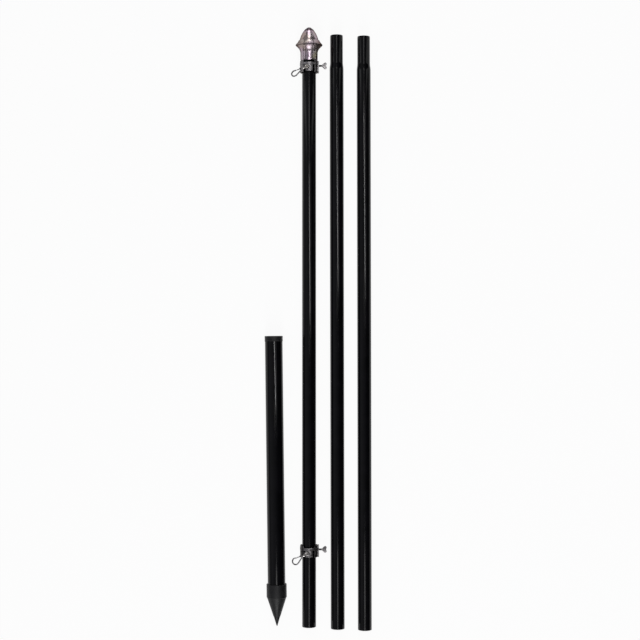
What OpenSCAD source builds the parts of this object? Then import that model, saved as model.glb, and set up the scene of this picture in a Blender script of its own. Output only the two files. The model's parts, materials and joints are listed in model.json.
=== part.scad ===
// Sectional flagpole for the ground, taken apart and laid flat beside one another:
// ground sleeve, top section with finial and two flag rings, middle section, lower section.
// Millimetres. +Z is up, +Y runs towards the finial, the floor is at z = 0.
// The origin is on the floor under the middle of the whole layout.

/* [Pole sections] */
// Outside diameter of the three tubes
pole_d = 25.4; // [24:0.1:27]
// Wall thickness of the three tubes
pole_wall = 0.9; // [0.7:0.05:1.2]
// Length of the middle and lower sections, neck and shoulder included
section_len = 1082; // [700:1:1500]
// Length of the top section
top_len = 1050; // [700:1:1500]
// Length of the reduced neck that slides into the next section up
neck_len = 52; // [30:1:80]
// Length of the cone between the tube and its neck
shoulder_len = 7; // [4:0.5:12]
// Radial play of a neck inside the next tube
neck_play = 0.2; // [0.1:0.05:0.4]

/* [Ground sleeve] */
// Length over everything, mouth to tip
sleeve_len = 528; // [400:1:700]
// Wall thickness of the sleeve's tube
sleeve_wall = 1.2; // [0.8:0.05:1.8]
// How far the lip at the mouth stands proud of the tube
lip_proud = 0.4; // [0.2:0.05:1]
// Length of the lip that shows
lip_len = 9.8; // [6:0.1:15]
// Length of the bushing inside the tube
bushing_len = 25; // [15:1:40]
// Wall thickness of the bushing inside the tube
bushing_wall = 1.75; // [1.2:0.05:3]
// Radial play of the pole in the bushing
bushing_play = 0.4; // [0.2:0.05:0.45]
// Wall thickness of the driving point's collar round the tube
collar_wall = 2.2; // [1.6:0.1:3.5]
// Length of the collar
collar_len = 24.6; // [18:0.2:35]
// Length of the cone below the collar, nib included
cone_len = 52.2; // [40:0.2:80]
// Length of the nib at the very tip
nib_len = 17.7; // [10:0.1:25]
// Depth that the tube is seated in the collar
seat_depth = 20; // [12:1:24]

/* [Finial] */
// Wall thickness of the socket
socket_wall = 2.85; // [2:0.05:4]
// Length of the socket below the cup
socket_len = 16; // [12:0.5:24]
// Depth that the top tube is seated in the finial
finial_seat = 20.5; // [14:0.5:21]
// How far the cup's brim stands out from the socket
brim_flare = 8.75; // [6:0.05:12]
// Height of the brim above the socket
brim_rise = 12; // [9:0.2:16]
// Height of the shoulder above the brim
shoulder_rise = 10; // [7:0.2:14]
// How far the shoulder's top stands out from the socket
shoulder_flare = 3.2; // [2.4:0.1:5]
// Height of the dome above the shoulder
dome_rise = 19; // [14:0.2:28]
// How far the dome's foot stands out from the socket
dome_flare = 1.2; // [0:0.1:2]
// Radius of the dome's flat top
dome_top_r = 7.2; // [6:0.1:9]
// Diameter of the round knob
knob_d = 10.4; // [8:0.1:13]
// Wall thickness of the cast pieces
casting_wall = 2; // [1.6:0.1:2.6]

/* [Flag rings] */
// Height of a ring's side cheeks along the pole
ring_h = 21; // [18:0.5:26]
// Distance from a ring's top edge down to its screw
screw_drop = 8.2; // [7:0.1:10]
// Thickness of the cheeks
cheek_t = 3.2; // [2.4:0.1:4.5]
// Thickness of the bar that joins the cheeks in front and behind
bar_t = 3.6; // [2.6:0.1:4.8]
// Height of that bar along the pole
bar_h = 4.8; // [4:0.1:6]
// How far the bar's middle lies above the screw
bar_rise = 2.4; // [0:0.1:3.6]
// Width of the open windows above and below the bar
window_w = 20; // [16:0.5:23]
// Radial play of a ring on the pole
ring_play = 0.3; // [0.2:0.05:0.6]
// Thickness of the pad that takes the screw
pad_t = 4.9; // [4:0.1:7]
// Width of the pad
pad_w = 11; // [9:0.5:13]
// Clear length of pole between the finial and the upper ring
upper_ring_gap = 0.8; // [0.5:0.1:5]
// Height of the lower ring's screw above the foot of the top section
lower_ring_rise = 140.7; // [40:0.1:500]
// Width of the tab that hangs from the bar in front
tab_w = 13; // [11:0.5:15]
// How far the tab reaches below the screw
tab_drop = 11.4; // [9.5:0.1:12.6]

/* [Thumbscrews] */
// Diameter of the screw
screw_d = 3.6; // [2.6:0.1:4.4]
// Length of screw that shows between the pad and the wings
screw_shows = 6.1; // [4:0.1:9]
// Length of the wings along the screw
wing_len = 8; // [6:0.1:11]
// Radius of a wing's rounded corner
wing_r = 2.8; // [2.2:0.1:3.6]
// Half the distance between the centres of those corners
wing_offset = 3.3; // [2.2:0.1:4]
// Thickness of the wings
wing_t = 1.8; // [1.2:0.1:3]

/* [Snap hooks] */
// Angle of the hook's lug round the ring, from the front, towards the screw
lug_angle = -12; // [-16:1:0]
// How far the lug lies below the screw
lug_drop = 4.5; // [3.5:0.1:6]
// Clearance between the pole and a hook turned on edge
hook_clear = 0.4; // [0.3:0.1:3]
// Radius of the lug and of the swivel eye
eye_r = 4.2; // [3.8:0.1:5]
// Thickness of the swivel eye
eye_t = 1.8; // [1.4:0.1:2.4]
// Diameter of the rivet that the swivel eye turns on
rivet_d = 3.9; // [3.2:0.1:4.4]
// Distance from the rivet to the far end of the hook's bend
hook_reach = 31; // [28:0.5:45]
// Radius of the bend, to the middle of the wire
bend_r = 5.8; // [4.8:0.1:7]
// Diameter of the hook's wire
wire_d = 2.4; // [1.8:0.1:2.8]
// Diameter of the gate's wire
gate_d = 1.6; // [1.2:0.1:2]
// Length of the straight nose that meets the gate
nose_len = 2; // [1:0.5:5]
// Turn of the upper hook on its rivet, from straight down the pole towards the left
upper_swing = 62; // [0:1:90]
// Turn of the lower hook on its rivet
lower_swing = 55; // [0:1:90]
// Turn of the upper hook about its own length
upper_roll = 25; // [-60:1:60]
// Turn of the lower hook about its own length
lower_roll = 0; // [-60:1:60]

/* [Layout] */
// Distance from the sleeve's mouth across to the top section
sleeve_gap = 64.6; // [60:0.1:100]
// Distance across between the feet of the top and middle sections
middle_gap = 52.2; // [48:0.1:90]
// Distance across between the feet of the middle and lower sections
lower_gap = 49.5; // [34:0.1:90]
// How far the middle section's foot lies above the lower section's foot
middle_foot_rise = 2; // [-40:0.1:40]
// How far the top section's foot lies above the lower section's foot
top_foot_rise = 6.1; // [-40:0.1:40]
// How far the sleeve's tip lies above the lower section's foot
sleeve_tip_rise = 7.8; // [-40:0.1:40]
// Lean of the sleeve across the floor, mouth to the left
sleeve_lean = 0.68; // [-2:0.01:2]
// Lean of the middle and lower sections across the floor
section_lean = 0.12; // [-0.5:0.01:0.5]

/* [Hidden] */
$fn = 96;
enamel = "#141418";
plastic = "#1c1c1f";
nickel = "#b9b4ac";
zinc = "#9c9a98";
fit = 0.05;          // radial play of a running fit, and of pieces seated in one another
side_play = 0.2;     // gap between faces that turn or lie against one another
ease = 0.8;          // small slope that takes off a corner
cut = 1;             // how far a cutting shape runs past what it cuts

// Tubes
pole_r = pole_d / 2;
bore_r = pole_r - pole_wall;
neck_r = bore_r - neck_play;
neck_bore_r = neck_r - pole_wall;
body_len = section_len - neck_len - shoulder_len;

// Sleeve, measured up from the tip
bushing_bore_r = pole_r + bushing_play;
sleeve_bore_r = bushing_bore_r + bushing_wall + fit;
sleeve_r = sleeve_bore_r + sleeve_wall;
lip_r = sleeve_r + lip_proud;
collar_r = sleeve_r + fit + collar_wall;
collar_top = cone_len + collar_len;
seat_floor = collar_top - seat_depth;
sleeve_tube_top = sleeve_len - lip_len;
cone_r = collar_r - ease;
nib_r = cone_r * nib_len / cone_len;
nib_tip_r = 0.9;
nib_pin_r = 3;
nib_pin_len = 12;
nib_step = 0.4;
lip_groove = 0.35;
lip_groove_h = 0.9;
lip_bead = 5.8;

// Finial, measured up from the foot of its socket
seat_r = pole_r + fit;
stop_w = 2.4;            // ledge that the tube's end meets
socket_r = seat_r + socket_wall;
brim_r = socket_r + brim_flare;
brim_z = socket_len + brim_rise;
brim_edge = 0.8;
flare_hollow = 1.6;
shoulder_r = socket_r + shoulder_flare;
shoulder_z = brim_z + shoulder_rise;
shoulder_hollow = 0.8;
dome_r = socket_r + dome_flare;
dome_z = shoulder_z + dome_rise;
dome_bulge = 1.4;
knob_r = knob_d / 2;
knob_h = 3.2;
knob_lift = 0.4;
knob_foot_r = 4;
knob_pin_r = 1.8;
knob_pin_len = 2.4;
knob_hole_r = knob_pin_r + fit;
knob_floor = dome_z - knob_pin_len - side_play;
knob_round = 20;         // how far the knob's side curves back under, in degrees
finial_h = dome_z + knob_lift + knob_h;

// Rings, measured from the level of the screw
ring_bore_r = pole_r + ring_play;
ring_r = ring_bore_r + cheek_t;
bar_r = ring_bore_r + bar_t;
pad_reach = ring_bore_r + pad_t;
pad_inner = pole_r * 0.8;
ring_low = screw_drop - ring_h;
bore_low = min(ring_low, -tab_drop) - cut;
screw_r = screw_d / 2;
wing_root = pad_reach + screw_shows;
rivet_r = rivet_d / 2;
wire_r = wire_d / 2;
gate_r = gate_d / 2;
hook_plane = pole_r + bend_r + wire_r + hook_clear;
lug_face = hook_plane - eye_t / 2 - side_play;
rivet_root = lug_face - 3;
rivet_head_r = rivet_r + 1.2;
rivet_head_h = 1.2;
screw_tip = pole_r + 0.4;
wing_lap = 1;
wing_u = wing_root + wing_len - wing_r;
wing_foot_r = screw_r + 0.5;
wing_slant = 30;         // how far round its corner a wing's slanting edge meets it, in degrees

// Hook, measured out from its rivet; the lengths of its small parts follow its reach
hook_scale = hook_reach / 31;
barrel_r = 2.2;
barrel_from = eye_r + 0.7;
barrel_to = barrel_from + 3.2 * hook_scale;
stem_r = 1.15;
neck_w = 3.1;            // width of the neck between the eye and the barrel
lap = 0.5;               // how far joined shapes run into one another
stem_from = barrel_from + 0.8 * hook_scale;
hook_collar_from = barrel_to + 0.3;
hook_collar_to = hook_collar_from + 1.9 * hook_scale;
wire_from = hook_collar_to - lap;
bend_u = hook_reach - bend_r;
leg_angle = asin(bend_r / (bend_u - wire_from));
leg_len = (bend_u - wire_from) * cos(leg_angle);
leg_r = wire_r - 0.05;   // the straight wire is a touch thinner than the bend that it laps into
tangent_u = bend_u - bend_r * sin(leg_angle);
tangent_v = bend_r * cos(leg_angle);
nose_u = tangent_u - nose_len * cos(leg_angle);
nose_v = -tangent_v + nose_len * sin(leg_angle);
pivot_u = hook_collar_to + 2 * hook_scale;
pivot_v = -2.6;
pivot_r = 0.7;
pin_lap = 0.1;
gate_eye_r = 1.6 * hook_scale;
gate_eye_t = 1.1;
ear_r = 1.8 * hook_scale;
ear_gap = 0.65;
ear_t = 0.7;
arm_w = 2.9;             // width of the arms that carry the gate's ears
gate_angle = atan2(nose_v - pivot_v, nose_u - pivot_u);
gate_span = norm([nose_u - pivot_u, nose_v - pivot_v]);
gate_len = gate_span - wire_r - gate_r - 0.3;
gate_from = ear_r + 0.4;
gate_neck_from = 1;
gate_neck_r = gate_r * 0.65;

// Levels on the top section, measured up from its foot
finial_foot = top_len - finial_seat;
upper_level = finial_foot - upper_ring_gap - screw_drop;
lower_level = lower_ring_rise;

// The top section rests on the finial's brim and on the lower ring's bar
brim_level = finial_foot + brim_z;
rest_level = lower_level + bar_rise - bar_h / 2;
top_incline = atan((brim_r - bar_r) / (brim_level - rest_level));
top_z = brim_r * cos(top_incline) - brim_level * sin(top_incline);

// The sleeve rests on its collar and on its lip
mouth_low = sleeve_len;
sleeve_incline = atan((lip_r - collar_r) / (mouth_low - collar_top));
sleeve_z = lip_r * cos(sleeve_incline) - mouth_low * sin(sleeve_incline);

// Places across the floor, with the layout's middle at the origin
layout_w = lip_r + sleeve_gap + middle_gap + lower_gap + pole_r;
layout_h = top_foot_rise + finial_foot + finial_h;
lower_x = layout_w / 2 - pole_r;
middle_x = lower_x - lower_gap;
top_x = middle_x - middle_gap;
sleeve_x = top_x - sleeve_gap + sleeve_len * sin(sleeve_lean);
lower_y = -layout_h / 2;
middle_y = lower_y + middle_foot_rise;
top_y = lower_y + top_foot_rise;
sleeve_y = lower_y + sleeve_tip_rise;

// Puts what is built along +Z on the floor, running towards +Y
module laid(x, y, z, lean, incline) {
    translate([x, y, z]) rotate([0, 0, lean]) rotate([incline - 90, 0, 0]) children();
}

module on_sleeve() {
    laid(sleeve_x, sleeve_y, sleeve_z, sleeve_lean, sleeve_incline) children();
}

module on_top_section() {
    laid(top_x, top_y, top_z, 0, top_incline) children();
}

module on_finial() {
    on_top_section() translate([0, 0, finial_foot]) children();
}

// The middle of a ring at the level of its screw, which points along +X
module on_ring(level) {
    on_top_section() translate([0, 0, level]) children();
}

// The rivet's axis in the hook's plane, with +Z away from the pole
module on_lug(level) {
    on_ring(level) out_of_lug() translate([0, 0, hook_plane]) children();
}

// The axis that runs out from the pole through the lug, with +Z away from the pole
module out_of_lug() {
    translate([0, 0, -lug_drop]) rotate([0, 0, lug_angle]) rotate([90, 0, 0]) children();
}

// The hook's own frame, with +X along the hook and +Z away from the pole
module on_eye(level, swing) {
    on_lug(level) rotate([0, 0, -90 - swing]) children();
}

// A tube along +Z
module pipe(r_out, r_in, h) {
    difference() {
        cylinder(r = r_out, h = h);
        translate([0, 0, -cut]) cylinder(r = r_in, h = h + 2 * cut);
    }
}

// A round rod that starts at the origin and runs along +X
module rod(r, h) {
    rotate([0, 90, 0]) cylinder(r = r, h = h);
}

// A round rod along +X whose far end is a dome
module domed_rod(r, h) {
    dome = [for (a = [0:15:90]) [r * cos(a), h + r * sin(a)]];
    rotate([0, 90, 0]) rotate_extrude() polygon(concat([[0, 0], [r, 0]], dome));
}

// ---- Ground sleeve ----

module sleeve_tube() {
    color(enamel) on_sleeve() translate([0, 0, seat_floor])
        pipe(sleeve_r, sleeve_bore_r, sleeve_tube_top - seat_floor);
}

module sleeve_bushing() {
    color(plastic) on_sleeve() difference() {
        union() {
            translate([0, 0, sleeve_tube_top]) cylinder(r = lip_r, h = lip_len);
            translate([0, 0, sleeve_tube_top - bushing_len])
                cylinder(r = sleeve_bore_r - fit, h = bushing_len);
        }
        translate([0, 0, sleeve_tube_top - bushing_len - cut])
            cylinder(r = bushing_bore_r, h = bushing_len + lip_len + 2 * cut);
        translate([0, 0, sleeve_len - lip_bead])
            pipe(lip_r + cut, lip_r - lip_groove, lip_groove_h);
    }
}

module sleeve_point() {
    color(plastic) on_sleeve() difference() {
        rotate_extrude() polygon([
            [0, nib_len], [nib_r + nib_step, nib_len], [cone_r, cone_len],
            [collar_r, cone_len + ease], [collar_r, collar_top - ease],
            [collar_r - ease, collar_top], [0, collar_top]
        ]);
        translate([0, 0, seat_floor]) cylinder(r = sleeve_r + fit, h = seat_depth + cut);
        translate([0, 0, nib_len - cut]) cylinder(r = nib_pin_r + fit, h = nib_pin_len + cut + side_play);
    }
}

module sleeve_nib() {
    color(plastic) on_sleeve() rotate_extrude() polygon([
        [0, 0], [nib_tip_r / 2, 0], [nib_tip_r, nib_tip_r], [nib_r, nib_len],
        [nib_pin_r, nib_len], [nib_pin_r, nib_len + nib_pin_len], [0, nib_len + nib_pin_len]
    ]);
}

// ---- Pole sections ----

// A section with a reduced neck at its top end
module necked_section() {
    rotate_extrude() polygon([
        [bore_r, 0], [pole_r, 0], [pole_r, body_len],
        [neck_r, body_len + shoulder_len], [neck_r, section_len],
        [neck_bore_r, section_len], [neck_bore_r, body_len + shoulder_len], [bore_r, body_len]
    ]);
}

module lower_section() {
    color(enamel) laid(lower_x, lower_y, pole_r, section_lean, 0) necked_section();
}

module middle_section() {
    color(enamel) laid(middle_x, middle_y, pole_r, section_lean, 0) necked_section();
}

module top_section() {
    color(enamel) on_top_section() pipe(pole_r, bore_r, top_len);
}

// ---- Finial ----

// Points of a shallow outward curve from p to q
function bowed(p, q, bulge, steps) = [
    for (i = [0:steps])
        let (t = i / steps, side = 4 * bulge * t * (1 - t))
        [p[0] + (q[0] - p[0]) * t + side, p[1] + (q[1] - p[1]) * t]
];

module finial_socket() {
    color(nickel) on_finial() difference() {
        rotate_extrude() polygon([
            [0, 0], [socket_r - ease, 0], [socket_r, 2 * ease], [socket_r, socket_len], [0, socket_len]
        ]);
        translate([0, 0, -cut]) cylinder(r = seat_r, h = socket_len + 2 * cut);
    }
}

module finial_cup() {
    color(nickel) on_finial() difference() {
        rotate_extrude() polygon(concat(
            [[0, socket_len]],
            bowed([socket_r + ease, socket_len], [brim_r, brim_z], -flare_hollow, 8),
            bowed([brim_r, brim_z + brim_edge], [shoulder_r, shoulder_z], -shoulder_hollow, 6),
            [[0, shoulder_z]]
        ));
        translate([0, 0, socket_len - cut])
            cylinder(r = seat_r, h = finial_seat - socket_len + cut);
        translate([0, 0, finial_seat - cut])
            cylinder(r = seat_r - stop_w, h = shoulder_z - finial_seat + 2 * cut);
        translate([0, 0, brim_z])
            cylinder(r = dome_r - casting_wall, h = shoulder_rise + cut);
    }
}

module finial_dome() {
    color(nickel) on_finial() rotate_extrude() polygon(concat(
        [[dome_r - casting_wall, shoulder_z]],
        bowed([dome_r, shoulder_z], [dome_top_r, dome_z], dome_bulge, 8),
        [[knob_hole_r, dome_z], [knob_hole_r, knob_floor]],
        bowed([knob_hole_r + side_play, knob_floor],
              [dome_r - casting_wall, shoulder_z + side_play], dome_bulge, 8)
    ));
}

module finial_knob() {
    color(nickel) on_finial() {
        translate([0, 0, dome_z - knob_pin_len]) cylinder(r = knob_pin_r, h = knob_pin_len + knob_lift);
        translate([0, 0, dome_z]) rotate_extrude() polygon(concat(
            [[0, 0], [knob_foot_r, 0]],
            [for (a = [-knob_round:10:90])
                [knob_r * cos(a), knob_lift + knob_h * (sin(knob_round) + sin(a)) / (1 + sin(knob_round))]]
        ));
    }
}

// ---- Flag rings ----

// The windows on one side of the bar, in front and behind
module windows(from, to) {
    translate([-window_w / 2, -ring_r - cut, from])
        cube([window_w, 2 * (ring_r + cut), to - from]);
}

module flag_ring(level) {
    bar_low = bar_rise - bar_h / 2;
    color(zinc) on_ring(level) difference() {
        union() {
            difference() {
                translate([0, 0, ring_low]) cylinder(r = ring_r, h = ring_h);
                windows(bar_low + bar_h, screw_drop + cut);
                windows(ring_low - cut, bar_low);
            }
            translate([0, 0, bar_low]) cylinder(r = bar_r, h = bar_h);
            intersection() {
                translate([0, 0, -tab_drop]) cylinder(r = bar_r, h = tab_drop + bar_rise);
                translate([-tab_w / 2, -bar_r - cut, -tab_drop - cut])
                    cube([tab_w, bar_r, tab_drop + bar_rise + 2 * cut]);
            }
            translate([pad_inner, -pad_w / 2, ring_low]) cube([pad_reach - pad_inner, pad_w, ring_h]);
            out_of_lug() cylinder(r = eye_r, h = lug_face);
        }
        translate([0, 0, bore_low]) cylinder(r = ring_bore_r, h = screw_drop + cut - bore_low);
        rod(screw_r + fit, pad_reach + cut);
        out_of_lug() translate([0, 0, rivet_root - side_play]) cylinder(r = rivet_r + fit, h = hook_plane);
    }
}

module rivet(level) {
    color(nickel) on_lug(level) {
        translate([0, 0, rivet_root - hook_plane])
            cylinder(r = rivet_r, h = hook_plane - rivet_root + eye_t / 2 + side_play);
        translate([0, 0, eye_t / 2 + side_play]) cylinder(r = rivet_head_r, h = rivet_head_h);
    }
}

module thumbscrew(level) {
    slant_u = wing_u - wing_r * sin(wing_slant);
    slant_v = wing_offset + wing_r * cos(wing_slant);
    color(zinc) on_ring(level) {
        translate([screw_tip, 0, 0]) rod(screw_r, wing_root + wing_lap - screw_tip);
        rotate([90, 0, 0]) translate([0, 0, -wing_t / 2]) {
            for (side = [-1, 1])
                translate([wing_u, side * wing_offset, 0]) cylinder(r = wing_r, h = wing_t);
            linear_extrude(wing_t) polygon([
                [wing_root, -wing_foot_r], [slant_u, -slant_v], [wing_u, -wing_offset],
                [wing_u + wing_r - wing_lap, -wing_offset], [wing_u + wing_r - wing_lap, wing_offset],
                [wing_u, wing_offset], [slant_u, slant_v], [wing_root, wing_foot_r]
            ]);
        }
    }
}

// ---- Snap hooks ----

// The eye that turns on the rivet, with the barrel that carries the hook's stem
module swivel_eye(level, swing) {
    color(nickel) on_eye(level, swing) difference() {
        union() {
            translate([0, 0, -eye_t / 2]) cylinder(r = eye_r, h = eye_t);
            translate([0, -neck_w / 2, -eye_t / 2]) cube([barrel_from + lap, neck_w, eye_t]);
            translate([barrel_from, 0, 0]) rod(barrel_r, barrel_to - barrel_from);
        }
        translate([0, 0, -eye_t]) cylinder(r = rivet_r + fit, h = 2 * eye_t);
        translate([stem_from - side_play, 0, 0]) rod(stem_r + fit, barrel_to);
    }
}

module snap_hook(level, swing, roll) {
    color(zinc) on_eye(level, swing) rotate([roll, 0, 0]) {
        translate([stem_from, 0, 0]) rod(stem_r, hook_collar_from - stem_from + lap);
        translate([hook_collar_from, 0, 0]) rod(barrel_r, hook_collar_to - hook_collar_from);
        translate([wire_from, 0, 0]) rotate([0, 0, leg_angle]) rod(leg_r, leg_len + lap);
        translate([bend_u, 0, 0]) rotate([0, 0, -90 - leg_angle])
            rotate_extrude(angle = 180 + 2 * leg_angle) translate([bend_r, 0]) circle(r = wire_r);
        translate([tangent_u, -tangent_v, 0]) rotate([0, 0, 180 - leg_angle])
            translate([-lap, 0, 0]) domed_rod(leg_r, nose_len + lap);
        for (side = [0, 1]) mirror([0, 0, side]) translate([0, 0, ear_gap]) {
            translate([pivot_u, pivot_v, 0]) cylinder(r = ear_r, h = ear_t);
            translate([wire_from, pivot_v - arm_w / 3, 0]) cube([pivot_u - wire_from, arm_w, ear_t]);
        }
        translate([pivot_u, pivot_v, -ear_gap - pin_lap]) cylinder(r = pivot_r, h = 2 * (ear_gap + pin_lap));
    }
}

module wire_gate(level, swing, roll) {
    color(zinc) on_eye(level, swing) rotate([roll, 0, 0])
        translate([pivot_u, pivot_v, 0]) rotate([0, 0, gate_angle]) difference() {
            union() {
                translate([0, 0, -gate_eye_t / 2]) cylinder(r = gate_eye_r, h = gate_eye_t);
                translate([gate_neck_from, 0, 0]) rod(gate_neck_r, gate_from + lap - gate_neck_from);
                translate([gate_from, 0, 0]) domed_rod(gate_r, gate_len - gate_from);
            }
            translate([0, 0, -gate_eye_t]) cylinder(r = pivot_r + fit, h = 2 * gate_eye_t);
        }
}

module upper_ring() { flag_ring(upper_level); }
module upper_rivet() { rivet(upper_level); }
module upper_thumbscrew() { thumbscrew(upper_level); }
module upper_eye() { swivel_eye(upper_level, upper_swing); }
module upper_hook() { snap_hook(upper_level, upper_swing, upper_roll); }
module upper_gate() { wire_gate(upper_level, upper_swing, upper_roll); }
module lower_ring() { flag_ring(lower_level); }
module lower_rivet() { rivet(lower_level); }
module lower_thumbscrew() { thumbscrew(lower_level); }
module lower_eye() { swivel_eye(lower_level, lower_swing); }
module lower_hook() { snap_hook(lower_level, lower_swing, lower_roll); }
module lower_gate() { wire_gate(lower_level, lower_swing, lower_roll); }

sleeve_tube();
sleeve_bushing();
sleeve_point();
sleeve_nib();
lower_section();
middle_section();
top_section();
finial_socket();
finial_cup();
finial_dome();
finial_knob();
upper_ring();
upper_rivet();
upper_thumbscrew();
upper_eye();
upper_hook();
upper_gate();
lower_ring();
lower_rivet();
lower_thumbscrew();
lower_eye();
lower_hook();
lower_gate();
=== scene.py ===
import json
import math

import bmesh
import bpy
from mathutils import Matrix, Vector


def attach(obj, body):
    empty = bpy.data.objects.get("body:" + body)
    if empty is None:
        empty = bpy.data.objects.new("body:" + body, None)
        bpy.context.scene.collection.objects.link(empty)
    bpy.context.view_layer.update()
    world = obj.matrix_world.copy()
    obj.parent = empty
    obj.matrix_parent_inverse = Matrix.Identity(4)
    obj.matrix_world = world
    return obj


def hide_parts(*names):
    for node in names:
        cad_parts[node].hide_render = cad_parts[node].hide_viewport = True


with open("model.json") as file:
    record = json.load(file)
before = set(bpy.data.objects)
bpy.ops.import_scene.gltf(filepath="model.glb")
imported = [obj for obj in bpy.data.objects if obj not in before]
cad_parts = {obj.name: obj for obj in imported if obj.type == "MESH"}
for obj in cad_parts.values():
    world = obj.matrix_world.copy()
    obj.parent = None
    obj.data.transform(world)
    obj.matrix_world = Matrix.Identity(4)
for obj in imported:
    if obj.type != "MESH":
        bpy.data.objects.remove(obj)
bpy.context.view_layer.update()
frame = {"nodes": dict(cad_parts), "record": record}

record = frame["record"]
mounts = {m["name"]: m for m in record["mounts"]}
joints = {j["name"]: j for j in record["behaviour"]["joints"]}

# ---- Sizes, in millimetres ----
MM = 0.001
ROUND = 96            # faces round a tube
FINE = 192            # faces round the finial
ROUNDING_STEPS = 4    # faces across a rounded edge
WELD = 0.0005         # points nearer than this are one point
CREASE = math.radians(32)   # edges sharper than this stay sharp in shading
PRESSED = 0.05        # gap all round between two pieces that are pressed together

# Pole sections
POLE_R = mounts["lower_section_foot"]["dims"]["r_mm"]
NECK_R = mounts["lower_section_neck"]["dims"]["r_mm"]
BORE_R = mounts["middle_section_socket"]["dims"]["r_mm"]
WALL = POLE_R - BORE_R
BODY_LEN = mounts["lower_section_foot"]["dims"]["length_mm"]
NECK_LEN = mounts["lower_section_neck"]["dims"]["length_mm"]
SHOULDER_LEN = 7
SECTION_LEN = BODY_LEN + SHOULDER_LEN + NECK_LEN
TOP_LEN = mounts["top_section_socket"]["dims"]["length_mm"]
CUT_EDGE = 0.25       # rounding of a tube's cut ends
BEND_OUTSIDE = 3      # rounding of the shoulder outside
BEND_INSIDE = 2.5     # and inside
NOSE_LEN = 2          # how far down the tip of a neck is tapered
NOSE_TAPER = 0.35     # what the taper takes off its radius
NOSE_ROUNDING = 0.8
PIN_DEPTH = 10        # how far inside an end its mount is measured

# Ground sleeve
SLEEVE_LEN = 528
SLEEVE_R = 16.1
SLEEVE_WALL = 1.2
LIP_R = 16.5
LIP_LEN = 9.8
LIP_BEAD = 5.8        # height of the bead above the groove in the lip
# The groove: depth, and height from the bead's foot.
LIP_GROOVE = ((0, -0.2), (0.5, 0.1), (0.5, 0.7), (0, 1))
BUSHING_LEN = 25
BUSHING_R = mounts["sleeve_socket"]["dims"]["r_mm"]
SOCKET_DEPTH = 5      # how far inside the sleeve's mouth its mount is measured
COLLAR_R = 18.35
COLLAR_LEN = 24.6
COLLAR_BEVEL = 0.8    # the bevel under the driving point's collar
CONE_LEN = 52.2
SEAT_DEPTH = 20       # how deep the tube sits in the collar
NIB_LEN = 17.7
NIB_STEP = 0.4        # how far the cone overhangs the nib
NIB_TIP = ((0, 0), (0.45, 0), (0.9, 0.9))   # radius, and height above the point
NIB_PIN = 12          # length of the pin that holds the nib
NIB_PIN_R = 3

# Finial, measured up from the foot of its stem
FINIAL_SEAT = 20.5
FINIAL_STOP = 2.4     # width of the step that the pole's end meets
SOCKET_R = 15.6
SOCKET_LEN = 16
FOOT_LEN = 1.6        # the stem's bevelled foot
FOOT_BEVEL = 0.8
STEM_GRAIN = 0.6      # height of one band of faces up the stem
STEM_BANDS = 24
CUP_OVERHANG = 0.3
CUP_HOLLOW = 1.6      # how far the flare of the cup curves in
BRIM_R = 24.35
BRIM_Z = 28
BRIM_EDGE = 0.8
RISE_HOLLOW = 0.6     # how far the slope above the brim curves in
SHOULDER_R = 18.8
SHOULDER_Z = 38
SHOULDER_DROP = 1.6   # from the shoulder's top to where the slope meets it
# Over the shoulder: distance in from its rim, and down from its top.
SHOULDER_TOP = ((1.1, 1.5), (1.7, 0.9), (1.9, 0))
DOME_R = 16.8
DOME_Z = 57
DOME_TOP_R = 7.2
DOME_BULGE = 1.4
DOME_ROOF = 2.6       # thickness of the dome's top
DOME_ROOF_R = 2       # radius of the flat under it
CASTING_WALL = 2
KNOB_R = 5.2
KNOB_H = 3.6
KNOB_PIN_R = 1.8
KNOB_PIN_LEN = 2.4
KNOB_FOOT_R = 4
KNOB_FOOT_H = 0.3
KNOB_BELLY = 0.4      # height at which the knob is widest
PANELS = 8
PANEL_FADE = 1.2      # length over which a panel starts and ends
GROOVE_SPREAD = 0.8   # half the width of a groove between panels

# Rivets, screws and eyes
HALF_EYE = 0.9        # half the thickness of a swivel eye
RIVET_R = 1.95
RIVET_ROOT = -4.1     # where a rivet starts, from the middle of its eye
RIVET_PLAY = 0.2      # gap between an eye and the rivet's head
RIVET_HEAD_R = 3.15
RIVET_TOP = 2.3
RIVET_UNDER_R = RIVET_HEAD_R - 0.3   # radius of the head's underside
RIVET_BORE_R = 1.15
RIVET_BORE_END = -0.6
# The rolled head, over its rim and into the bore: radius, and depth below its top.
RIVET_ROLL = ((RIVET_HEAD_R, 0.8), (RIVET_HEAD_R - 0.5, 0.1), (RIVET_R, 0), (1.35, 0.4),
              (RIVET_BORE_R, 1.1))
SCREW_REACH = 20      # how far out along a thumbscrew its joint is measured
SCREW_R = 1.8
THREAD_PITCH = 0.8
THREAD_DEPTH = 0.22
WING_ROOT = 24
WING_LEN = 8
WING_R = 2.8
WING_OFFSET = 3.3
WING_NECK = 0.6       # plain length between the thread and the wings
WING_THIN = 0.4       # share of their thickness that the wings lose at the rim


# ---- Places ----

def place(origin, x, z):
    """A local frame in millimetres, from its origin and the directions of its X and Z."""
    z = Vector(z).normalized()
    x = Vector(x)
    x = (x - z * x.dot(z)).normalized()
    turn = Matrix((x, z.cross(x), z)).transposed().to_4x4()
    return Matrix.Translation(origin) @ turn @ Matrix.Scale(MM, 4)


def standing(mount, depth, sign):
    """The frame of a tube that runs along local Z from its end, with local -Y upwards."""
    along = Vector(mounts[mount]["axis"]) * sign
    foot = Vector(mounts[mount]["pos_m"]) - along * depth * MM
    return place(foot, (1, 0, 0), along)


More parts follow.
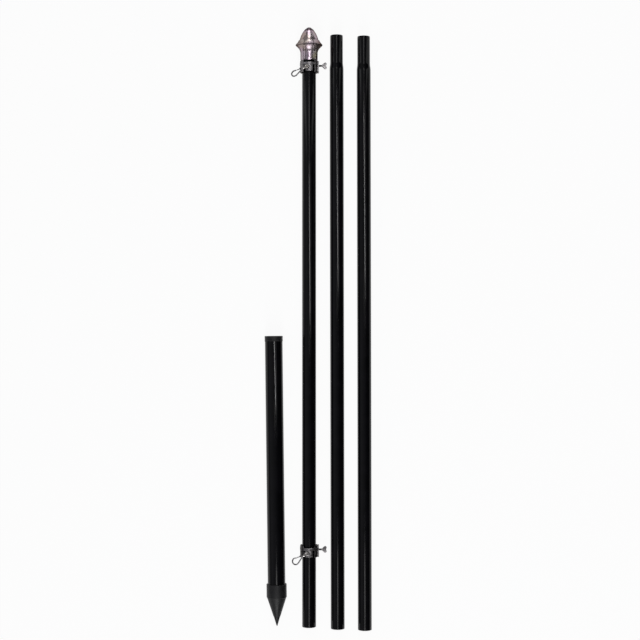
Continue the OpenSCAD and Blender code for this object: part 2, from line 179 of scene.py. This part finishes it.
SLEEVE = standing("sleeve_socket", SLEEVE_LEN - SOCKET_DEPTH, 1)
LOWER = standing("lower_section_foot", PIN_DEPTH, -1)
MIDDLE = standing("middle_section_socket", PIN_DEPTH, -1)
TOP = standing("top_section_socket", PIN_DEPTH, -1)
FINIAL = TOP @ Matrix.Translation((0, 0, TOP_LEN - FINIAL_SEAT))


def ring_place(which):
    """A ring's frame at the level of its screw, which points along local X."""
    screw = joints[which + "_screw_turn"]
    middle = Vector(screw["pos_m"]) - Vector(screw["axis"]).normalized() * SCREW_REACH * MM
    return place(middle, screw["axis"], joints[which + "_ring_slide"]["axis"])


def hook_place(which, hinge):
    """The frame of what turns on a rivet, with X along the hook and Z along the hinge named."""
    return place(joints[which + "_hook_swing"]["pos_m"], joints[which + "_hook_swivel"]["axis"],
                 joints[which + hinge]["axis"])


# ---- Shapes ----

def rounded(profile, corners):
    """A wire of (radius, height) points, with a round of the given size at the numbered points."""
    bm = bmesh.new()
    points = [bm.verts.new((r, 0, h)) for r, h in profile]
    closed = profile[0][0] > 0 or profile[-1][0] > 0
    loop = points + points[:1] if closed else points
    for pair in zip(loop, loop[1:]):
        bm.edges.new(pair)
    for number, size in corners.items():
        bmesh.ops.bevel(bm, geom=[points[number]], offset=size, segments=ROUNDING_STEPS,
                        profile=0.5, affect="VERTICES", material=-1)
        bm.verts.ensure_lookup_table()
    return bm


def turned(profile, corners=None, steps=ROUND):
    """A solid turned about local Z."""
    bm = rounded(profile, corners or {})
    bmesh.ops.spin(bm, geom=bm.verts[:] + bm.edges[:], cent=(0, 0, 0), axis=(0, 0, 1),
                   angle=math.tau, steps=steps, use_merge=True)
    bmesh.ops.remove_doubles(bm, verts=bm.verts, dist=WELD)
    bmesh.ops.recalc_face_normals(bm, faces=bm.faces)
    return bm


def bowed(start, end, bulge, steps):
    """Points of a shallow curve between two (radius, height) points."""
    return [(start[0] + (end[0] - start[0]) * t + 4 * bulge * t * (1 - t),
             start[1] + (end[1] - start[1]) * t)
            for t in (i / steps for i in range(steps + 1))]


def reach(outline, height):
    """The radius of a (radius, height) outline at a height."""
    for (r0, h0), (r1, h1) in zip(outline, outline[1:]):
        if h0 <= height <= h1 and h1 > h0:
            return r0 + (r1 - r0) * (height - h0) / (h1 - h0)
    return outline[-1][0] if height > outline[-1][1] else outline[0][0]


def panel(bm, outline, flat, groove, low, high):
    """Works panels into the outside of a turned shape, from height low to high: flat is how flat
    they are, and a groove of that depth runs between them. They fade out at both ends, and painted
    shade darkens the grooves."""
    half = math.pi / PANELS
    shade = painted_shade_layer(bm)
    for v in bm.verts:
        r = math.hypot(v.co.x, v.co.y)
        if not low < v.co.z < high or r < reach(outline, v.co.z) - CASTING_WALL / 2:
            continue
        share = min(1, (v.co.z - low) / PANEL_FADE, (high - v.co.z) / PANEL_FADE)
        off = (math.atan2(v.co.y, v.co.x) + half) % (2 * half) - half
        near = r * (half - abs(off)) / GROOVE_SPREAD
        # painted shade in the grooves between panels
        v[shade] = max(v[shade], share * math.exp(-near * near))
        change = r * flat * (1 / math.cos(off) - 1) - groove * math.exp(-near * near)
        v.co.x *= 1 + share * change / r
        v.co.y *= 1 + share * change / r


def painted_shade_layer(bm):
    """The layer that says how dark with painted shade each point is, from 0 to 1."""
    return bm.verts.layers.float.get("tarnish") or bm.verts.layers.float.new("tarnish")


def tarnish(bm, low, high, edge, amount):
    """Darkens the outside with painted shade from height low to high, fading over edge."""
    shade = painted_shade_layer(bm)
    for v in bm.verts:
        share = min(1, (v.co.z - low) / edge, (high - v.co.z) / edge)
        v[shade] = max(v[shade], amount * max(0, share))


def softened(node, where, grain, passes):
    """A copy of a CAD node in a local frame, with the rounded edges and filled corners of a
    casting: grain is the size of its faces, and passes is how often they are smoothed."""
    bm = bmesh.new()
    bm.from_mesh(frame["nodes"][node].data)
    bmesh.ops.transform(bm, matrix=where.inverted() @ frame["nodes"][node].matrix_world,
                        verts=bm.verts)
    bmesh.ops.remove_doubles(bm, verts=bm.verts, dist=WELD)
    bmesh.ops.recalc_face_normals(bm, faces=bm.faces)
    mesh = bpy.data.meshes.new("core")
    bm.to_mesh(mesh)
    bm.free()
    core = bpy.data.objects.new("core", mesh)
    bpy.context.scene.collection.objects.link(core)
    skin = core.modifiers.new("skin", "REMESH")
    skin.mode = "VOXEL"
    skin.voxel_size = grain
    ease = core.modifiers.new("ease", "SMOOTH")
    ease.factor = 0.5
    ease.iterations = passes
    bm = bmesh.new()
    bm.from_object(core, bpy.context.evaluated_depsgraph_get())
    bpy.data.objects.remove(core)
    bpy.data.meshes.remove(mesh)
    return bm


def piece(name, bm, where, body, slot, *nodes, finish=None):
    """Puts a finished shape in its place, as a piece that stands for CAD nodes. It has the finish
    of its slot, or another shade of it."""
    bmesh.ops.transform(bm, matrix=where, verts=bm.verts)
    mesh = bpy.data.meshes.new(name)
    bm.to_mesh(mesh)
    bm.free()
    mesh.shade_smooth()
    mesh.set_sharp_from_angle(angle=CREASE)
    mesh.materials.append(finish or FINISHES[slot])
    obj = bpy.data.objects.new(name, mesh)
    bpy.context.scene.collection.objects.link(obj)
    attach(obj, body)
    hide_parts(*nodes)


# ---- Finishes ----

class Wire:
    """A socket in a node tree. Arithmetic on it adds Math nodes."""

    def __init__(self, tree, socket=None):
        self.tree = tree
        self.socket = socket

    def node(self, kind, settings=None, sockets=None, output=0):
        """Adds a node: its settings first, then the values or wires of its sockets."""
        made = self.tree.nodes.new(kind)
        for name, value in (settings or {}).items():
            setattr(made, name, value)
        for name, value in (sockets or {}).items():
            self.feed(made.inputs[name], value)
        return Wire(self.tree, made.outputs[output])

    def feed(self, target, value):
        """Joins a wire to a socket, or sets the socket's own value."""
        if isinstance(value, Wire):
            self.tree.links.new(value.socket, target)
        else:
            target.default_value = value

    def output(self, name):
        """Another output of the node that this wire comes from."""
        return Wire(self.tree, self.socket.node.outputs[name])

    def math(self, operation, *values):
        return self.node("ShaderNodeMath", {"operation": operation}, dict(enumerate(values)))

    def spread(self, value, low, high, to_low=0.0, to_high=1.0, curve="LINEAR"):
        """Maps a value from one range to another, and clamps it."""
        return self.node("ShaderNodeMapRange", {"interpolation_type": curve},
                         {"Value": value, "From Min": low, "From Max": high,
                          "To Min": to_low, "To Max": to_high})

    def __add__(self, other):
        return self.math("ADD", self, other)

    def __sub__(self, other):
        return self.math("SUBTRACT", self, other)

    def __rsub__(self, other):
        return self.math("SUBTRACT", other, self)

    def __mul__(self, other):
        return self.math("MULTIPLY", self, other)

    __radd__ = __add__
    __rmul__ = __mul__


MIX_FIRST, MIX_SECOND, MIXED = 6, 7, 2   # where a Mix node has its colour sockets


class Finish(Wire):
    """A material on the object's own coordinates."""

    def __init__(self, name, **fixed):
        self.material = bpy.data.materials.new(name)
        self.material.use_nodes = True
        super().__init__(self.material.node_tree)
        self.shader = self.tree.nodes["Principled BSDF"]
        for socket, value in fixed.items():
            self.shader.inputs[socket.replace("_", " ")].default_value = value
        self.here = self.node("ShaderNodeTexCoord", output="Object")

    def noise(self, scale, detail=2, rough=0.5, stretch=None):
        """A grey noise about 0.5, whose grains are 1 / scale metres across."""
        where = self.here
        if stretch:
            where = self.node("ShaderNodeMapping", None, {"Vector": where, "Scale": stretch})
        return self.node("ShaderNodeTexNoise", {"noise_dimensions": "3D"},
                         {"Vector": where, "Scale": scale, "Detail": detail, "Roughness": rough})

    def fade(self, value, low, high, to_low=0.0, to_high=1.0):
        """Maps a value from one range to another, smoothly, and clamps it."""
        return self.spread(value, low, high, to_low, to_high, "SMOOTHSTEP")

    def mix(self, share, first, second):
        """Mixes two colours, each a wire or a (red, green, blue) tuple."""
        colours = {MIX_FIRST: (*first, 1) if isinstance(first, tuple) else first,
                   MIX_SECOND: (*second, 1) if isinstance(second, tuple) else second}
        return self.node("ShaderNodeMix", {"data_type": "RGBA"}, {"Factor": share, **colours},
                         output=MIXED)

    def bump(self, height, strength, distance, normal=None):
        """Raises the surface by up to distance, in metres, where height is 1."""
        sockets = {"Height": height, "Strength": strength, "Distance": distance}
        if normal:
            sockets["Normal"] = normal
        return self.node("ShaderNodeBump", None, sockets)

    def finish(self, **varying):
        """Feeds the sockets that vary over the surface."""
        for socket, value in varying.items():
            self.feed(self.shader.inputs[socket.replace("_", " ")], value)
        return self.material


GRAIN_DEPTH = 0.0001       # metres
PEEL_DEPTH = 0.00012       # metres, of the paint's skin and of moulded plastic
ENAMEL_DEEP = (0.0006, 0.0006, 0.0010)
ENAMEL_WORN = (0.0017, 0.0015, 0.0024)
PLASTIC_DEEP = (0.0045, 0.0045, 0.0052)
PLASTIC_DUSTY = (0.0085, 0.0083, 0.0092)
NICKEL_EDGE = (0.12, 0.11, 0.10, 1)
NICKEL_CLOUD = (0.46, 0.43, 0.41)
NICKEL_PAINTED_SHADE = (0.045, 0.034, 0.036)
ZINC_EDGE = (0.2, 0.2, 0.19, 1)
ZINC_DULL = (0.155, 0.147, 0.151)
ZINC_BRIGHT = (0.29, 0.28, 0.283)
ZINC_SPANGLE = (0.095, 0.087, 0.094)


def black_enamel():
    """Gloss paint over drawn steel: faint lines along the tube, and a slight peel."""
    f = Finish("black_enamel", Specular_IOR_Level=0.2)
    mottle = f.noise(38, detail=4, rough=0.55)
    drawn = f.noise(900, stretch=(1, 0.02, 1))
    peel = f.noise(1400)
    colour = f.mix(f.fade(mottle, 0.35, 0.65), ENAMEL_DEEP, ENAMEL_WORN)
    rough = (f.fade(mottle, 0.3, 0.7, to_low=0.08, to_high=0.13)
             + f.fade(drawn, 0.45, 0.75, to_high=0.03))
    skin = f.bump(drawn, 0.06, GRAIN_DEPTH, f.bump(peel, 0.07, PEEL_DEPTH))
    return f.finish(Base_Color=colour, Roughness=rough, Normal=skin)


def black_plastic():
    """Moulded plastic with a fine grain."""
    f = Finish("black_plastic", Specular_IOR_Level=0.3)
    grain = f.noise(2600, detail=3, rough=0.6)
    cloud = f.noise(60, detail=3)
    colour = f.mix(f.fade(cloud, 0.35, 0.65), PLASTIC_DEEP, PLASTIC_DUSTY)
    rough = (f.fade(cloud, 0.3, 0.7, to_low=0.42, to_high=0.52)
             + f.fade(grain, 0.4, 0.7, to_high=0.06))
    return f.finish(Base_Color=colour, Roughness=rough, Normal=f.bump(grain, 0.35, PEEL_DEPTH))


def nickel_plate(name, straw, lilac):
    """Polished plating that drifts between two tints, with pits, and painted shade where its
    piece's layer darkens it.
    """
    f = Finish(name, Metallic=1.0, Specular_Tint=NICKEL_EDGE)
    cloud = f.noise(55, detail=3)
    tint = f.noise(45, detail=1, rough=0.4)
    pits = f.noise(900, detail=3, rough=0.6)
    dark = f.node("ShaderNodeAttribute", {"attribute_name": "tarnish"}, output="Fac")
    warm = f.mix(f.fade(tint, 0.42, 0.6), straw, lilac)
    plate = f.mix(f.fade(cloud, 0.4, 0.7, to_high=0.6), warm, NICKEL_CLOUD)
    # painted shade: the layer, with a little noise, darkens the plate towards a near-black colour
    colour = f.mix(f.fade(dark + (cloud - 0.5) * 0.5, 0.15, 0.9), plate, NICKEL_PAINTED_SHADE)
    rough = (f.fade(cloud, 0.3, 0.7, to_low=0.14, to_high=0.26)
             + f.fade(pits, 0.55, 0.75, to_high=0.12)
             + f.fade(dark, 0.1, 0.4, to_high=0.16))
    return f.finish(Base_Color=colour, Roughness=rough, Normal=f.bump(pits, 0.08, GRAIN_DEPTH))


def zinc_plate():
    """Dull galvanised metal with small spangles."""
    f = Finish("zinc_plate", Metallic=1.0, Specular_Tint=ZINC_EDGE)
    cloud = f.noise(160, detail=4, rough=0.6)
    spangle = f.noise(420, detail=1, rough=0.4)
    grain = f.noise(1800)
    plain = f.mix(f.fade(cloud, 0.35, 0.65), ZINC_DULL, ZINC_BRIGHT)
    colour = f.mix(f.fade(spangle, 0.5, 0.72, to_high=0.55), plain, ZINC_SPANGLE)
    rough = f.fade(cloud, 0.3, 0.7, to_low=0.26, to_high=0.44)
    return f.finish(Base_Color=colour, Roughness=rough, Normal=f.bump(grain, 0.2, GRAIN_DEPTH))


FINISHES = {
    "black_enamel": black_enamel(),
    "black_plastic": black_plastic(),
    "nickel_plate": nickel_plate("nickel_plate", straw=(0.345, 0.31, 0.235),
                                 lilac=(0.40, 0.325, 0.385)),
    "zinc_plate": zinc_plate(),
}
ROSE_NICKEL = nickel_plate("rose_nickel_plate", straw=(0.375, 0.30, 0.28),
                           lilac=(0.415, 0.33, 0.38))
SMALL_NICKEL = nickel_plate("small_nickel_plate", straw=(0.38, 0.36, 0.33),
                            lilac=(0.44, 0.42, 0.41))

# ---- Pole sections ----
ROOT = "pole_and_sleeve"


def necked_section(name, where):
    """A tube with a shoulder, and above it the neck that the next tube slips over."""
    neck_bore = NECK_R - WALL
    shoulder = BODY_LEN + SHOULDER_LEN
    profile = [(BORE_R, 0), (POLE_R, 0), (POLE_R, BODY_LEN), (NECK_R, shoulder),
               (NECK_R, SECTION_LEN - NOSE_LEN), (NECK_R - NOSE_TAPER, SECTION_LEN),
               (neck_bore, SECTION_LEN), (neck_bore, shoulder), (BORE_R, BODY_LEN)]
    corners = {0: CUT_EDGE, 1: CUT_EDGE, 2: BEND_OUTSIDE, 3: BEND_OUTSIDE, 4: NOSE_ROUNDING,
               5: CUT_EDGE, 7: BEND_INSIDE, 8: BEND_INSIDE}
    piece(name + "_tube", turned(profile, corners), where, ROOT, "black_enamel", name)


def plain_tube(name, where, node, outer, inner, low, high):
    """A straight tube between two heights."""
    profile = [(inner, low), (outer, low), (outer, high), (inner, high)]
    corners = {corner: CUT_EDGE for corner in range(4)}
    piece(name, turned(profile, corners), where, ROOT, "black_enamel", node)


necked_section("lower_section", LOWER)
necked_section("middle_section", MIDDLE)
plain_tube("top_section_tube", TOP, "top_section", POLE_R, BORE_R, 0, TOP_LEN)

# ---- Ground sleeve ----
COLLAR_TOP = CONE_LEN + COLLAR_LEN
TUBE_FOOT = COLLAR_TOP - SEAT_DEPTH
TUBE_TOP = SLEEVE_LEN - LIP_LEN
BUSHING_FOOT = TUBE_TOP - BUSHING_LEN
plain_tube("sleeve_barrel", SLEEVE, "sleeve_tube", SLEEVE_R, SLEEVE_R - SLEEVE_WALL,
           TUBE_FOOT, TUBE_TOP)

bushing_side = SLEEVE_R - SLEEVE_WALL - PRESSED
bushing = [(BUSHING_R, BUSHING_FOOT), (bushing_side, BUSHING_FOOT), (bushing_side, TUBE_TOP),
           (LIP_R, TUBE_TOP)]
bushing += [(LIP_R - depth, SLEEVE_LEN - LIP_BEAD + height) for depth, height in LIP_GROOVE]
bushing += [(LIP_R, SLEEVE_LEN), (BUSHING_R, SLEEVE_LEN)]
piece("sleeve_mouth", turned(bushing, {3: 0.3, 4: 0.15, 7: 0.15, 8: 0.9, 9: 0.8}), SLEEVE, ROOT,
      "black_plastic", "sleeve_bushing")

cone_r = COLLAR_R - COLLAR_BEVEL
nib_r = cone_r * NIB_LEN / CONE_LEN
pin_top = NIB_LEN + NIB_PIN
point = [(0, pin_top), (NIB_PIN_R, pin_top), (NIB_PIN_R, NIB_LEN), (nib_r + NIB_STEP, NIB_LEN),
         (cone_r, CONE_LEN), (COLLAR_R, CONE_LEN + COLLAR_BEVEL), (COLLAR_R, COLLAR_TOP),
         (SLEEVE_R + PRESSED, COLLAR_TOP), (SLEEVE_R + PRESSED, TUBE_FOOT), (0, TUBE_FOOT)]
piece("driving_point", turned(point, {3: 0.3, 4: 0.8, 5: 0.5, 6: 0.9}), SLEEVE, ROOT,
      "black_plastic", "sleeve_point")

nib = [*NIB_TIP, (nib_r, NIB_LEN), (NIB_PIN_R, NIB_LEN), (NIB_PIN_R, pin_top), (0, pin_top)]
piece("driving_nib", turned(nib, {1: 0.2, 2: 0.3, 3: 0.3}), SLEEVE, ROOT, "black_plastic",
      "sleeve_nib")

# ---- Finial ----
seat_r = POLE_R + PRESSED
foot = [(SOCKET_R - FOOT_BEVEL, 0), (SOCKET_R, FOOT_LEN)]
bands = [(SOCKET_R, FOOT_LEN + STEM_GRAIN * i) for i in range(1, STEM_BANDS)]
stem_top = (SOCKET_R, SOCKET_LEN)
stem = [(seat_r, 0), *foot, *bands, stem_top, (seat_r, SOCKET_LEN)]
bm = turned(stem, {1: 0.3, 2: 0.3}, steps=FINE)
panel(bm, [*foot, stem_top], flat=0.5, groove=0.55, low=0.6, high=SOCKET_LEN + PANEL_FADE)
piece("finial_stem", bm, FINIAL, ROOT, "nickel_plate", "finial_socket")

flare = bowed((SOCKET_R + CUP_OVERHANG, SOCKET_LEN), (BRIM_R, BRIM_Z),
              bulge=-CUP_HOLLOW, steps=20)
rise = bowed((BRIM_R, BRIM_Z + BRIM_EDGE), (SHOULDER_R, SHOULDER_Z - SHOULDER_DROP),
             bulge=-RISE_HOLLOW, steps=16)
outside = flare + rise + [(SHOULDER_R - inwards, SHOULDER_Z - down)
                          for inwards, down in SHOULDER_TOP]
inner = DOME_R - CASTING_WALL
stop_r = seat_r - FINIAL_STOP
hollow = [(inner, SHOULDER_Z), (inner, BRIM_Z), (stop_r, BRIM_Z), (stop_r, FINIAL_SEAT),
          (seat_r, FINIAL_SEAT)]
bm = turned([(seat_r, SOCKET_LEN)] + outside + hollow, steps=FINE)
panel(bm, outside, flat=0.25, groove=0.8, low=SOCKET_LEN - PANEL_FADE, high=SHOULDER_Z - 1.8)
# painted shade: darker bands on the flare, under the brim and below the shoulder
tarnish(bm, low=SOCKET_LEN, high=BRIM_Z, edge=2.5, amount=0.3)
tarnish(bm, low=BRIM_Z - 3, high=BRIM_Z + 0.6, edge=1.2, amount=0.6)
tarnish(bm, low=SHOULDER_Z - 2, high=SHOULDER_Z + 0.8, edge=0.8, amount=0.4)
piece("finial_crown", bm, FINIAL, ROOT, "nickel_plate", "finial_cup", finish=ROSE_NICKEL)

outside = bowed((DOME_R, SHOULDER_Z), (DOME_TOP_R, DOME_Z), bulge=DOME_BULGE, steps=32)
inside = bowed((DOME_ROOF_R, DOME_Z - DOME_ROOF), (inner, SHOULDER_Z),
               bulge=DOME_BULGE, steps=16)
bm = turned(outside + [(KNOB_PIN_R + PRESSED, DOME_Z)] + inside, steps=FINE)
panel(bm, outside, flat=0.5, groove=0.9, low=SHOULDER_Z + 0.4, high=DOME_Z - 0.4)
# painted shade darkens the dome's top
tarnish(bm, low=DOME_Z - 6, high=DOME_Z + 6, edge=4, amount=0.8)
piece("finial_acorn", bm, FINIAL, ROOT, "nickel_plate", "finial_dome", finish=ROSE_NICKEL)

knob = [(0, DOME_Z - KNOB_PIN_LEN), (KNOB_PIN_R, DOME_Z - KNOB_PIN_LEN), (KNOB_PIN_R, DOME_Z),
        (KNOB_FOOT_R, DOME_Z), (KNOB_FOOT_R, DOME_Z + KNOB_FOOT_H)]
knob += [(KNOB_R * math.cos(a), DOME_Z + KNOB_BELLY + (KNOB_H - KNOB_BELLY) * math.sin(a))
         for a in (math.radians(10 * i) for i in range(9))]
knob += [(0, DOME_Z + KNOB_H)]
bm = turned(knob, steps=FINE)
# painted shade darkens the button
tarnish(bm, low=DOME_Z - 4, high=DOME_Z + 6, edge=2, amount=0.6)
piece("finial_button", bm, FINIAL, ROOT, "nickel_plate", "finial_knob", finish=ROSE_NICKEL)


# ---- Rings, thumbscrews and snap hooks ----

def cut_thread(bm):
    """Cuts a thread round the length of a screw that shows, and thins its wings to their rims."""
    for v in bm.verts:
        r = math.hypot(v.co.y, v.co.z)
        if v.co.x < WING_ROOT - WING_NECK and r > SCREW_R / 2:
            turn = math.atan2(v.co.z, v.co.y) / math.tau + v.co.x / THREAD_PITCH
            cut = THREAD_DEPTH * (0.5 - 0.5 * math.cos(math.tau * turn))
            v.co.y *= 1 - cut / r
            v.co.z *= 1 - cut / r
        if v.co.x > WING_ROOT:
            along = (v.co.x - WING_ROOT) / WING_LEN
            out = abs(v.co.z) / (WING_OFFSET + WING_R)
            v.co.y *= 1 - WING_THIN * max(out, along) ** 2


head_foot = HALF_EYE + RIVET_PLAY
rivet = [(0, RIVET_ROOT), (RIVET_R, RIVET_ROOT), (RIVET_R, head_foot), (RIVET_UNDER_R, head_foot)]
rivet += [(r, RIVET_TOP - depth) for r, depth in RIVET_ROLL]
rivet += [(RIVET_BORE_R, RIVET_BORE_END), (0, RIVET_BORE_END)]

for which in ("upper", "lower"):
    ring = ring_place(which)
    eye = hook_place(which, "_hook_swing")
    hook = hook_place(which, "_gate_open")
    clamp = which + "_clamp"
    piece(which + "_clamp_ring", softened(which + "_ring", ring, grain=0.3, passes=3),
          ring, clamp, "zinc_plate", which + "_ring")
    piece(which + "_tube_rivet", turned(rivet, {3: 0.2, 4: 0.25, 5: 0.3, 6: 0.3, 7: 0.2}),
          eye, clamp, "nickel_plate", which + "_rivet", finish=SMALL_NICKEL)
    bm = softened(which + "_thumbscrew", ring, grain=0.12, passes=2)
    cut_thread(bm)
    piece(which + "_wing_screw", bm, ring, which + "_screw", "zinc_plate", which + "_thumbscrew")
    piece(which + "_swivel_eye", softened(which + "_eye", eye, grain=0.12, passes=2),
          eye, which + "_swivel", "nickel_plate", which + "_eye", finish=SMALL_NICKEL)
    piece(which + "_snap_hook", softened(which + "_hook", hook, grain=0.13, passes=2),
          hook, which + "_snap", "zinc_plate", which + "_hook")
    piece(which + "_spring_gate", softened(which + "_gate", hook, grain=0.09, passes=2),
          hook, which + "_keeper", "zinc_plate", which + "_gate")

# ---- Studio, in metres and watts ----
LAMP_HEIGHT = 3.2
ORIGIN = (0, 0, 0)
FINIAL_AT = (0, 0.5, 0)
LAMPS = (
    # name, place, width and length, power, what it is aimed at
    ("key", (0.5, 0.47, LAMP_HEIGHT), (1.3, 0.16), 17, ORIGIN),
    ("key_wing", (1.7, 0.46, LAMP_HEIGHT), (1.2, 0.3), 2.4, ORIGIN),
    ("head_lamp", (0.1, 1.36, LAMP_HEIGHT), (0.8, 0.36), 2.7, ORIGIN),
    ("foot_lamp", (0.1, -1.74, LAMP_HEIGHT), (0.8, 0.4), 3.8, ORIGIN),
    ("sleeve_lamp", (-0.1, -0.08, LAMP_HEIGHT), (0.3, 0.13), 0.35, ORIGIN),
    ("head_top_fill", (0.0, 2.6, 3.0), (0.6, 0.9), 8, FINIAL_AT),
    ("head_fill", (0.0, 3.2, 1.9), (0.6, 1.5), 11, FINIAL_AT),
    ("head_low_fill", (0.0, 3.7, 0.56), (0.8, 1.0), 10, FINIAL_AT),
    ("foot_fill", (0.0, -2.8, 2.3), (1.1, 2.4), 52, FINIAL_AT),
    ("left_side", (-1.5, 0.86, 0.75), (0.14, 1.3), 0.7, FINIAL_AT),
    ("right_side", (1.5, 0.86, 0.75), (0.14, 1.3), 0.7, FINIAL_AT),
)
SKY_TINT = (0.94, 0.95, 1, 1)
SKY_WHITE = 0.97        # strength of the sky that the camera sees
FLOOR_HALF = 40
FLOOR_DROP = 0.0003     # how far the floor lies below the pieces
FLOOR_PALE = (0.9, 0.9, 0.9, 1)
FLOOR_WHITE = 0.92      # how much of the floor seen is plain white; the rest takes shadows
WHITE = (1, 1, 1, 1)
CAMERA_AT = (0.0032, 0.01675, 2.4)
SENSOR_MM = 36
LENS_MM = 73.56


def lamp(name, at, size, power, aim):
    """A rectangular lamp that faces what it is aimed at."""
    data = bpy.data.lights.new(name, "AREA")
    data.shape = "RECTANGLE"
    data.size, data.size_y = size
    data.energy = power
    obj = bpy.data.objects.new(name, data)
    obj.location = at
    obj.rotation_mode = "QUATERNION"
    obj.rotation_quaternion = (Vector(aim) - Vector(at)).to_track_quat("-Z", "Y")
    bpy.context.scene.collection.objects.link(obj)


for row in LAMPS:
    lamp(*row)

world = bpy.data.worlds.new("studio")
bpy.context.scene.world = world
world.use_nodes = True
w = Wire(world.node_tree)
across = w.node("ShaderNodeSeparateXYZ", None, {"Vector": w.node("ShaderNodeTexCoord")})
dimming = w.spread(across, low=-0.85, high=0.7, to_low=0.5, to_high=0.06)
rising = w.spread(across.output("Z"), low=0.0, high=0.5, to_low=0.25, to_high=1.0)
sky = w.node("ShaderNodeBackground", None, {"Color": SKY_TINT, "Strength": dimming * rising})
# In low views the camera sees past the floor, to a sky as white as the floor.
beyond = w.node("ShaderNodeBackground", None, {"Color": WHITE, "Strength": SKY_WHITE})
seen = w.node("ShaderNodeLightPath")
w.feed(world.node_tree.nodes["World Output"].inputs["Surface"],
       w.node("ShaderNodeMixShader", None, {0: seen, 1: sky, 2: beyond}))

bm = bmesh.new()
bmesh.ops.create_grid(bm, x_segments=1, y_segments=1, size=FLOOR_HALF)
floor_mesh = bpy.data.meshes.new("floor")
bm.to_mesh(floor_mesh)
bm.free()
floor = bpy.data.objects.new("floor", floor_mesh)
floor.location = (0, 0, -FLOOR_DROP)
bpy.context.scene.collection.objects.link(floor)
pale = bpy.data.materials.new("pale_floor")
pale.use_nodes = True
w = Wire(pale.node_tree)
seen = w.node("ShaderNodeLightPath")
mirrored = w.math("MAXIMUM", seen, seen.output("Is Glossy Ray"))
shown = w.math("MAXIMUM", mirrored, seen.output("Is Transmission Ray")) * FLOOR_WHITE
lit = w.node("ShaderNodeBsdfDiffuse", None, {"Color": FLOOR_PALE})
white = w.node("ShaderNodeEmission", None, {"Color": WHITE, "Strength": 1.0})
w.feed(pale.node_tree.nodes["Material Output"].inputs["Surface"],
       w.node("ShaderNodeMixShader", None, {0: shown, 1: lit, 2: white}))
floor_mesh.materials.append(pale)

lens = bpy.data.cameras.new("camera")
lens.sensor_width = SENSOR_MM
lens.lens = LENS_MM
camera = bpy.data.objects.new("camera", lens)
camera.location = CAMERA_AT
bpy.context.scene.collection.objects.link(camera)
bpy.context.scene.camera = camera
bpy.context.scene.view_settings.view_transform = "Standard"
